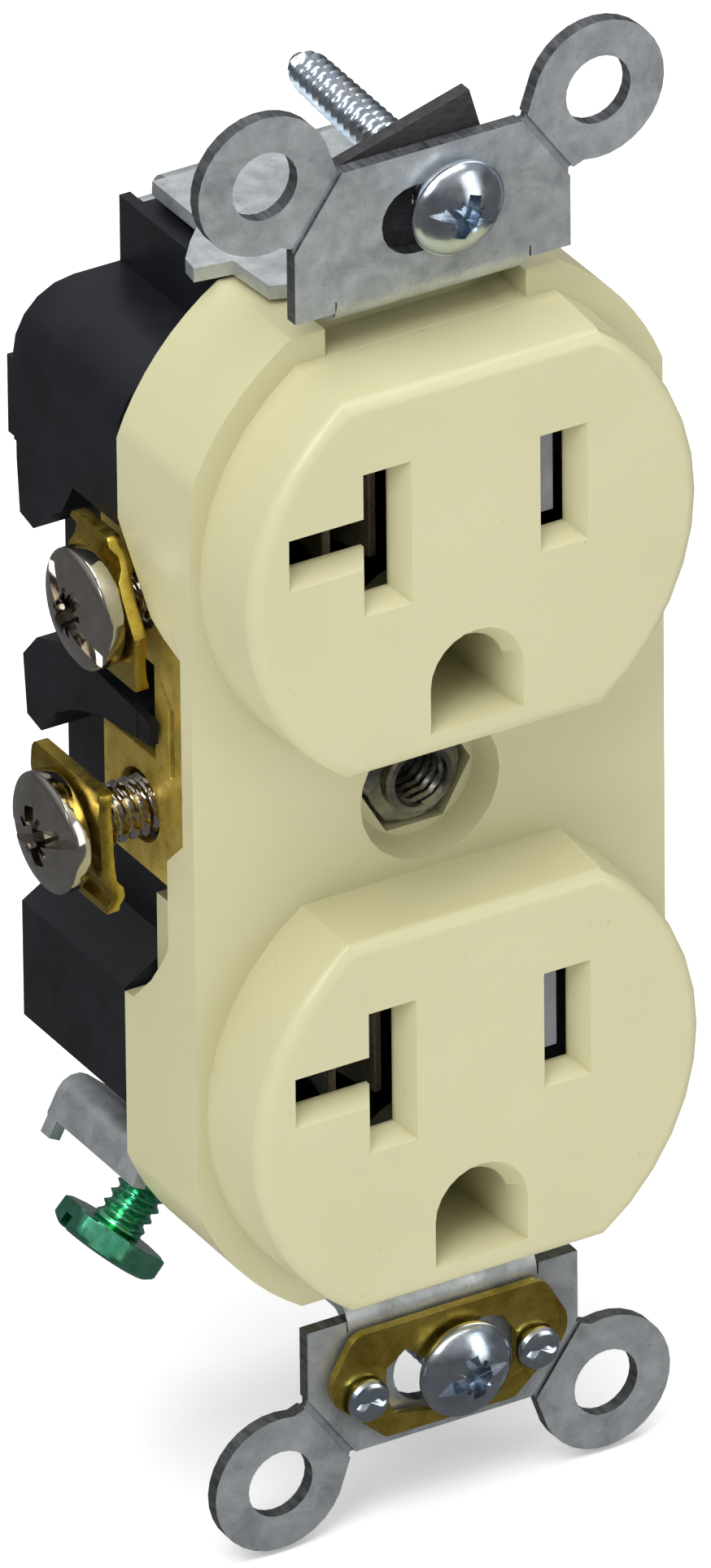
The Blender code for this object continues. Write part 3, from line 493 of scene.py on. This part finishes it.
TERMINAL_HEAD = Head(radius=4.05, thickness=2.2, rim=1.2)
TERMINAL_SHANK = Shank(radius=2.05, length=7.6, depth=0.42, taper=0.0)
TERMINAL_RECESS = Recess(slot_width=1.15, slot_depth=1.05, cross_length=3.3, cross_depth=1.75)
MOUNT_HEAD = Head(radius=3.35, thickness=1.9, rim=0.5)
MOUNT_SHANK = Shank(radius=1.72, length=19.3, depth=0.36, taper=0.30)
MOUNT_RECESS = Recess(slot_width=0.95, slot_depth=0.85, cross_length=2.7, cross_depth=1.6)
GROUND_SHANK = Shank(radius=1.75, length=8.1, depth=0.38, taper=0.0)
GROUND_RADIUS = 3.9  # from the axis to a corner of its hexagon
GROUND_THICKNESS = 1.8
GROUND_SLOT = 0.95  # width and depth
GROUND_TURN = math.radians(41.2)
GROUND_SLOT_TURN = math.radians(11.2)


def thread_depth(height, angle, depth):
    """How far the thread's surface lies below its crest."""
    phase = (height / THREAD_PITCH - angle / TAU) % 1.0
    flank = min(abs(phase - 0.5) * 2.6, 1.0)
    return depth * flank


def thread_rows(radius, top, bottom, depth, tip=0.0, taper=0.0):
    """Rows of a thread from top to bottom, which runs in over its first turn.

    The crest narrows by the taper all the way down, and by the tip over the last stretch.
    """
    tip_stretch = 1.2
    count = max(int((top - bottom) / THREAD_PITCH * THREAD_ROWS_PER_TURN), 4)
    rows = []
    for index in range(count + 1):
        height = top + (bottom - top) * index / count
        run_in = min((top - height) / (THREAD_PITCH * 0.8), 1.0)
        near_tip = max(0.0, 1.0 - (height - bottom) / tip_stretch)
        crest = radius - taper * index / count - tip * near_tip

        def row(angle, height=height, crest=crest, run_in=run_in):
            return crest - thread_depth(height, angle, depth) * run_in, height

        rows.append(row)
    return rows


def dome_rows(head):
    """Rows of a domed head from its crown to its underside at z = 0."""
    corner = 0.18
    sag = head.thickness - head.rim
    sphere = (head.radius * head.radius + sag * sag) / (2 * sag)
    rows = []
    for step in range(1, 11):
        across = (head.radius - corner) * step / 10
        rows.append(ring(across, head.rim + math.sqrt(sphere**2 - across**2) - (sphere - sag)))
    for turn in (25, 50, 75):
        angle = math.radians(turn)
        inset = corner * (1 - math.sin(angle))
        drop = corner * 0.3 * (1 - math.cos(angle))
        rows.append(ring(head.radius - inset, head.rim - drop))
    return rows + [
        ring(head.radius, head.rim - corner * 0.5),
        ring(head.radius, corner),
        ring(head.radius - corner * 0.5, corner * 0.2),
        ring(head.radius - corner * 1.4, 0.0),
    ]


def shank_rows(shank):
    """Rows of a neck, a thread and a flat end, down from the head's underside at z = 0."""
    neck = [ring(shank.radius + 0.12, 0.0), ring(shank.radius - shank.depth * 0.5, -0.12)]
    thread_end = 0.35 - shank.length
    thread = thread_rows(shank.radius, -0.2, thread_end, shank.depth, 0.35, shank.taper)
    end = shank.radius - shank.taper - 0.75
    return neck + thread + [ring(end, -shank.length), ring(end * 0.5, -shank.length)]


def wedge(length, width, top, bottom, draft=0.0, turn=0.0):
    """A block along local X whose floor is shorter and narrower than its top by the draft."""
    build = bmesh.new()
    corners = [(-1, -1), (1, -1), (1, 1), (-1, 1)]
    floor_x = length / 2 - draft * 2
    floor_y = width / 2 - draft * 0.25
    upper = [
        build.verts.new((u * length / 2 * MM, v * width / 2 * MM, top * MM)) for u, v in corners
    ]
    lower = [build.verts.new((u * floor_x * MM, v * floor_y * MM, bottom * MM)) for u, v in corners]
    build.faces.new(upper)
    build.faces.new(lower[::-1])
    for index in range(4):
        after = (index + 1) % 4
        build.faces.new((upper[index], lower[index], lower[after], upper[after]))
    mesh = to_mesh(build, "wedge")
    mesh.transform(Matrix.Rotation(turn, 4, "Z"))
    return mesh


def combination_recess(head, recess, spin):
    """Cutters for the straight slot and the cross in one head, with tick marks between the arms."""
    above = head.thickness + 1.0
    tick_floor = head.thickness - recess.slot_depth * 0.55
    slot_floor = head.thickness - recess.slot_depth
    cross_floor = head.thickness - recess.cross_depth
    tick_length, tick_width = recess.cross_length * 1.1, recess.slot_width * 0.4
    arm_length, arm_width = recess.cross_length * 1.35, recess.slot_width * 1.05
    ticks = [
        wedge(tick_length, tick_width, above, tick_floor, 0.1, spin + math.pi / 4 * turn)
        for turn in (1, 3)
    ]
    arms = [
        wedge(arm_length, arm_width, above, cross_floor, 0.28, turn)
        for turn in (spin, spin + math.pi / 2)
    ]
    slot = wedge(head.radius * 2.2, recess.slot_width, above, slot_floor, 0.0, spin)
    return [*ticks, slot, *arms]


def domed_screw(node, name, joint, head, shank, recess, spin):
    """A threaded screw with a combination recess, on its joint's axis."""
    mesh = to_mesh(lathe(dome_rows(head) + shank_rows(shank), SCREW_STEPS), name)
    for cutter in combination_recess(head, recess, math.radians(spin)):
        mesh = cut(mesh, cutter, name)
    place(mesh, *seat_of(joint))
    add_piece(name, mesh, node, smooth=38.0)


def hex_row(height, radius, turn, limit):
    """A row round a hexagon of this corner radius, kept inside a circle of the limit's radius."""

    def row(angle):
        local = (angle - turn) % (TAU / 6) - TAU / 12
        across = radius * math.cos(TAU / 12) / math.cos(local)
        return min(across, limit), height

    return row


def ground_screw():
    """The green screw: a hexagonal head with chamfered corners and one slot."""
    top = GROUND_THICKNESS
    rows = [ring(1.2, top), ring(2.6, top), ring(3.05, top)]
    for drop, limit in ((0.05, 3.3), (0.18, 3.5), (0.36, 3.75), (0.5, 3.95)):
        rows.append(hex_row(top - drop, GROUND_RADIUS, GROUND_TURN, limit))
    for height, limit in ((0.25, 3.95), (0.1, 3.8), (0.0, 3.5)):
        rows.append(hex_row(height, GROUND_RADIUS - 0.02, GROUND_TURN, limit))
    rows += [ring(2.9, 0.0)] + shank_rows(GROUND_SHANK)
    mesh = to_mesh(lathe(rows, 72), "ground_screw")
    slot = wedge(12.0, GROUND_SLOT, top + 1.0, top - GROUND_SLOT, 0.0, GROUND_SLOT_TURN)
    mesh = cut(mesh, slot, "ground_screw")
    place(mesh, *seat_of("ground_screw_turn"))
    add_piece("ground_screw.hex", mesh, "ground_screw", smooth=30.0)


TERMINAL_SPINS = {
    ("neutral", "upper"): 53.4,
    ("neutral", "lower"): -71.5,
    ("hot", "upper"): 20.0,
    ("hot", "lower"): -35.0,
}
for (line, place_name), spin in TERMINAL_SPINS.items():
    domed_screw(
        f"terminal_screw_{line}_{place_name}",
        f"terminal_screw.{line}.{place_name}",
        f"screw_{line}_{place_name}_turn",
        TERMINAL_HEAD,
        TERMINAL_SHANK,
        TERMINAL_RECESS,
        spin,
    )
for place_name, spin in (("top", -21.0), ("bottom", 11.0)):
    domed_screw(
        f"mounting_screw_{place_name}",
        f"mounting_screw.{place_name}",
        f"{place_name}_screw_turn",
        MOUNT_HEAD,
        MOUNT_SHANK,
        MOUNT_RECESS,
        spin,
    )
ground_screw()


# ---------------------------------------------------------------- mouldings and stampings

FLANGE_FROM_Z = 36.5


def strap():
    """The mounting strap, with bare sheared edges on its two flanges."""
    piece = copy_of("mounting_strap", "strap", 0.16)
    piece.data.materials.append(sheared_edge())
    for face in piece.data.polygons:
        in_flange = face.center.y < 0.0 and abs(face.center.z) > FLANGE_FROM_Z * MM
        if in_flange and abs(face.normal.y) < 0.5:
            face.material_index = 1


copy_of("face_cover", "cover", 0.32, segments=3)
copy_of("back_body", "body.shell", 0.35, segments=3)
strap()
copy_of("screw_retainer_top", "retainer.square", 0.08)
for line, _ in LINES:
    strip = copy_of(f"{line}_contact_strip", f"contact_strip.{line}", 0.12)
    # brass with painted shade on the part inside the housing
    strip.data.materials[0] = CONTACT_BRASS
for place_name in PLACES:
    copy_of(f"ground_contact_{place_name}", f"ground_contact.{place_name}", 0.08)
    copy_of(f"ground_rivet_{place_name}", f"ground_rivet.{place_name}", 0.12)
    copy_of(f"shutter_{place_name}", f"shutter.{place_name}", 0.10)


# ---------------------------------------------------------------- wire clamps

# How far a clamp bends towards its pad, by the height above the screw's axis.
CLAMP_BEND = (
    (-4.7, 0.62),
    (-4.1, 0.52),
    (-3.5, 0.95),
    (-2.9, 0.85),
    (-2.2, 0.35),
    (-1.2, 0.22),
    (0.0, 0.15),
    (1.6, 0.10),
    (2.6, 0.0),
    (3.4, 0.05),
    (4.7, 0.30),
)


def interpolated(table, value):
    """The table's second column at this value of its first, with smooth steps between its rows."""
    for (low, first), (high, second) in zip(table, table[1:]):
        if value <= high:
            share = max(0.0, (value - low) / (high - low))
            share = share * share * (3 - 2 * share)
            return first + (second - first) * share
    return table[-1][1]


def clamp(line, place_name, side):
    """The pressure plate behind a terminal screw, with ribs formed across it towards the pad."""
    node = f"terminal_clamp_{line}_{place_name}"
    build = solid_of(node)
    seat, _ = seat_of(f"screw_{line}_{place_name}_turn")
    upright = 1 if place_name == "lower" else -1
    for tenths in range(-46, 47, 3):
        bmesh.ops.bisect_plane(
            build,
            geom=build.verts[:] + build.edges[:] + build.faces[:],
            plane_co=(0, 0, (seat[2] + tenths / 10) * MM),
            plane_no=(0, 0, 1),
            dist=1e-7,
        )
    for vertex in build.verts:
        above = (vertex.co.z / MM - seat[2]) * upright
        vertex.co.x -= side * interpolated(CLAMP_BEND, above) * MM
    add_piece(f"clamp.{line}.{place_name}", to_mesh(build, node), node, 0.14)


for line, side in LINES:
    for place_name in PLACES:
        clamp(line, place_name, side)


# ---------------------------------------------------------------- bushing, clip and rivets


def bushing():
    """The centre tube with its hex collar and its thread for the cover-plate screw."""
    low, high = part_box("cover_screw_bushing")
    front, back = low.y / MM, high.y / MM
    corner_radius, bore_radius, bore_depth = 3.81, 1.75, -0.26
    collar = ((3.6, 3.3), (3.5, 3.6), (3.2, 3.85), (2.65, 3.85), (2.35, 3.6), (2.22, 3.35))
    rows = [ring(2.45, 3.6), ring(2.7, 3.62)]
    rows += [hex_row(height, corner_radius, 0.0, limit) for height, limit in collar]
    rows += [ring(2.62, 2.2), ring(2.45, 2.1), ring(2.45, front + 0.2)]
    rows += [ring(2.3, front), ring(1.95, front)]
    rows += thread_rows(bore_radius, back - 0.2, front + 0.25, bore_depth)[::-1]
    rows += [ring(1.9, back), ring(3.2, back), ring(3.4, back - 0.15)]
    rows += [ring(3.4, back - 0.75), ring(2.6, back - 0.8)]
    mesh = to_mesh(lathe(rows, 48, closed=True), "bushing")
    place(mesh, (0, 0, 0), (0, 1, 0))
    add_piece("bushing.hex", mesh, "cover_screw_bushing", smooth=30.0)
    # the darker plated steel is painted shade of the cover's recess
    mesh.materials[0] = SHADED_BUSHING_STEEL


def staked_row(radius, height):
    """A row of a rivet's head, pressed in by the cross-shaped mark of the staking tool."""
    mark_depth, mark_middle = 0.32, 0.75
    share = max(0.0, 1 - abs(radius - mark_middle) / mark_middle)

    def row(angle):
        return radius, height - mark_depth * max(0.0, math.cos(2 * angle)) ** 4 * share

    return row


def clip_rivet(side_name):
    """One of the two rivets that hold the clip to the lower flange."""
    node = f"clip_rivet_{side_name}"
    low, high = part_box(node)
    centre = (low + high) / 2 / MM
    seat_y = -2.2
    crown = ((0.15, 0.45), (0.4, 0.5), (0.65, 0.55), (0.9, 0.58))
    shoulder = ((1.15, 0.55), (1.35, 0.45), (1.5, 0.2))
    rows = [staked_row(radius, height) for radius, height in crown + shoulder]
    rows += [ring(1.48, 0.0), ring(0.9, 0.0), ring(0.9, -2.5)]
    rows += [ring(1.5, -2.5), ring(1.5, -2.9), ring(1.3, -3.0)]
    mesh = to_mesh(lathe(rows, 40), node)
    place(mesh, (centre.x, seat_y, centre.z), (0, -1, 0))
    add_piece(f"clip_rivet.{side_name}", mesh, node, smooth=30.0)


def flat_plate(outlines, front, back, name):
    """A plate between two depths from (x, z) outlines, the holes after the outside."""
    curve = bpy.data.curves.new(name, "CURVE")
    curve.dimensions = "2D"
    curve.fill_mode = "BOTH"
    curve.extrude = (back - front) / 2 * MM
    for outline in outlines:
        spline = curve.splines.new("POLY")
        spline.points.add(len(outline) - 1)
        spline.use_cyclic_u = True
        for point, (u, v) in zip(spline.points, outline):
            point.co = (u * MM, v * MM, 0.0, 1.0)
    obj = bpy.data.objects.new(name, curve)
    bpy.context.scene.collection.objects.link(obj)
    bpy.context.view_layer.update()
    graph = bpy.context.evaluated_depsgraph_get()
    mesh = bpy.data.meshes.new_from_object(obj.evaluated_get(graph))
    bpy.data.objects.remove(obj)
    build = bmesh.new()
    build.from_mesh(mesh)
    bmesh.ops.remove_doubles(build, verts=build.verts, dist=1e-7)
    made = to_mesh(build, name)
    middle = (front + back) / 2 * MM
    made.transform(Matrix.Translation((0, middle, 0)) @ Matrix.Rotation(math.pi / 2, 4, "X"))
    return made


def arc(x, z, radius, start, end, steps):
    """Points round a centre from one angle in degrees to another."""
    points = []
    for step in range(steps + 1):
        angle = math.radians(start + (end - start) * step / steps)
        points.append((x + radius * math.cos(angle), z + radius * math.sin(angle)))
    return points


def grounding_clip():
    """The brass clip on the lower flange: a frame with two tongues that bear on the screw."""
    rivet_x, rivet_z, rivet_hole = 6.3, -42.0, 1.2
    low, high = (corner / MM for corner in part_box("grounding_clip"))
    right = [
        *arc(4.6, low.z + 0.5, 0.5, 270, 300, 3),
        *arc(high.x - 2.2, high.z - 3.6, 2.2, -38, 30, 6),
        *arc(6.2, high.z - 1.4, 1.4, 40, 90, 5),
    ]
    outside = right + [(-x, z) for x, z in right[::-1]]
    middle = seat_of("bottom_screw_turn")[0][2]
    window = [
        (4.9, middle + 1.1),
        (3.9, middle + 2.6),
        (2.6, middle + 3.0),
        (1.2, middle + 2.5),
        (-0.9, middle + 2.3),
        (-1.9, middle + 1.2),
        (-3.2, middle + 2.4),
        (-4.7, middle + 1.3),
        (-4.8, middle - 0.6),
        (-4.1, middle - 2.3),
        (-2.6, middle - 2.5),
        (-0.8, middle - 2.9),
        (1.4, middle - 2.9),
        (3.6, middle - 2.5),
        (4.8, middle - 1.0),
    ]
    holes = [arc(side * rivet_x, rivet_z, rivet_hole, 0, 350, 35) for side in (1, -1)]
    mesh = flat_plate([outside, window, *holes], low.y, high.y, "grounding_clip")
    add_piece("clip.spring", mesh, "grounding_clip", 0.1)


bushing()
for side_name in ("left", "right"):
    clip_rivet(side_name)
grounding_clip()


# ---------------------------------------------------------------- inside the housing

WALL_NEAR, WALL_FAR = 11.95, 12.35  # distances of an inner wall's faces from the middle plane
TERMINAL_WALL_Y = (3.0, 12.2)
TERMINAL_WALL_Z = {"upper": (10.75, 18.05), "lower": (-4.85, 2.55)}
TERMINAL_WALL_HOLE = 2.3
FOOT_WALL_Y = (2.8, 9.0)
FOOT_WALL_Z = (-28.0, -18.0)


def inner_wall(name, side, depths, heights, *holes):
    """A thin wall parallel to the housing's sides, which keeps light from shining through it."""
    (front, back), (low, high) = depths, heights
    outline = [(front, low), (back, low), (back, high), (front, high)]
    span = (-WALL_FAR, -WALL_NEAR) if side > 0 else (WALL_NEAR, WALL_FAR)
    mesh = flat_plate([outline, *holes], *span, "inner_wall")
    mesh.transform(Matrix.Rotation(math.pi / 2, 4, "Z"))
    add_piece(name, mesh, "back_body")


def coil(place_name):
    """The shutter's return spring, which shortens as the shutter slides."""
    node = f"shutter_spring_{place_name}"
    low, high = (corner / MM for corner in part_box(node))
    middle = (low + high) / 2
    wire = 0.15
    radius = (high.z - low.z) / 2 - wire
    turns, steps, sides = 4.5, 24, 8
    end_share = 0.08  # of the wire, lying flat at each end
    count = int(turns * steps)
    reach = high.x - low.x - 2 * wire
    build = bmesh.new()
    rings = []
    for index in range(count + 1):
        share = index / count
        angle = TAU * turns * share
        along = min(max((share - end_share) / (1 - 2 * end_share), 0.0), 1.0)
        out = Vector((0, math.cos(angle), math.sin(angle)))
        centre = Vector((low.x + wire + reach * along, middle.y, middle.z)) + out * radius
        points = []
        for step in range(sides):
            turn = TAU * step / sides
            offset = out * math.cos(turn) + Vector((1, 0, 0)) * math.sin(turn)
            points.append(build.verts.new((centre + offset * wire) * MM))
        rings.append(points)
    for first, second in zip(rings, rings[1:]):
        for step in range(sides):
            after = (step + 1) % sides
            build.faces.new((first[step], first[after], second[after], second[step]))
    build.faces.new(rings[0])
    build.faces.new(rings[-1][::-1])
    obj = add_piece(f"spring.{place_name}", to_mesh(build, node), node, smooth=60.0)
    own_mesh(obj)


for line, side in LINES:
    for place_name in PLACES:
        seat, _ = seat_of(f"screw_{line}_{place_name}_turn")
        hole = arc(seat[1], seat[2], TERMINAL_WALL_HOLE, 0, 345, 23)
        heights = TERMINAL_WALL_Z[place_name]
        inner_wall(f"body.wall.{line}.{place_name}", side, TERMINAL_WALL_Y, heights, hole)
    inner_wall(f"body.wall.{line}.foot", side, FOOT_WALL_Y, FOOT_WALL_Z)
for place_name in PLACES:
    coil(place_name)


# ---------------------------------------------------------------- floor, camera and light

FLOOR_HALF_SIZE = 3.0  # metres
FLOOR_GAP = 0.4
CAMERA_LENS = 680.0
CAMERA_DISTANCE = 1863.2


def towards(azimuth, elevation):
    """The direction of a viewer at these angles in degrees, from straight in front and level."""
    a, e = math.radians(azimuth), math.radians(elevation)
    return Vector((math.sin(a) * math.cos(e), -math.cos(a) * math.cos(e), math.sin(e)))


def aim(obj, away, offset, roll=0.0):
    """Puts a camera or a light at an offset in metres, looking against the away direction."""
    turn = (-away).to_track_quat("-Z", "Y").to_matrix().to_4x4()
    obj.matrix_world = Matrix.Translation(offset) @ turn @ Matrix.Rotation(roll, 4, "Z")


def make_floor():
    level = CAD_BOX[0][2] - FLOOR_GAP * MM
    build = bmesh.new()
    bmesh.ops.create_grid(build, x_segments=8, y_segments=8, size=FLOOR_HALF_SIZE)
    bmesh.ops.translate(build, verts=build.verts, vec=(0, 0, level))
    mesh = bpy.data.meshes.new("floor")
    build.to_mesh(mesh)
    build.free()
    floor = bpy.data.objects.new("floor", mesh)
    bpy.context.scene.collection.objects.link(floor)
    mesh.materials.append(floor_paper())
    floor.visible_glossy = False


def make_camera(azimuth, elevation, roll, target):
    """A long lens, so that the view is almost parallel."""
    data = bpy.data.cameras.new("camera")
    camera = bpy.data.objects.new("camera", data)
    bpy.context.scene.collection.objects.link(camera)
    data.sensor_width = 36.0
    data.lens = CAMERA_LENS
    data.clip_start = 0.01
    data.clip_end = 50.0
    away = towards(azimuth, elevation)
    aim(camera, away, (Vector(target) + away * CAMERA_DISTANCE) * MM, math.radians(roll))
    bpy.context.scene.camera = camera


def area_light(name, azimuth, elevation, distance, size, power):
    """A soft light aimed at the middle of the object; its distance and size are in metres."""
    data = bpy.data.lights.new(name, "AREA")
    data.shape = "RECTANGLE"
    data.size, data.size_y = size
    data.energy = power
    light = bpy.data.objects.new(name, data)
    bpy.context.scene.collection.objects.link(light)
    away = towards(azimuth, elevation)
    aim(light, away, away * distance)


def make_world(strength):
    """Room light: bright above, dim at the horizon, so that metal shows light and dark bands."""
    world = bpy.data.worlds.new("studio")
    world.use_nodes = True
    nodes, links = world.node_tree.nodes, world.node_tree.links
    background = nodes["Background"]
    background.inputs["Strength"].default_value = strength
    direction = nodes.new("ShaderNodeTexCoord")
    split = nodes.new("ShaderNodeSeparateXYZ")
    links.new(direction.outputs["Generated"], split.inputs["Vector"])
    ramp = nodes.new("ShaderNodeValToRGB")
    greys = ((0.0, 0.26), (0.10, 0.18), (0.22, 0.32), (0.45, 0.75), (0.8, 1.0))
    fill_ramp(ramp, [(position, (grey, grey, grey * 1.01)) for position, grey in greys])
    links.new(split.outputs["Z"], ramp.inputs["Fac"])
    links.new(ramp.outputs["Color"], background.inputs["Color"])
    bpy.context.scene.world = world


make_floor()
make_camera(azimuth=-30.24, elevation=29.84, roll=-0.61, target=(-6.02, -1.0, 2.50))
make_world(0.5)
area_light("key", -56, 44, 0.48, (0.22, 0.28), 1.15)
area_light("fill", 36, 12, 0.70, (0.30, 0.50), 0.9)
area_light("top", 10, 84, 0.60, (0.60, 0.60), 3.4)
bpy.context.scene.view_settings.view_transform = "Standard"
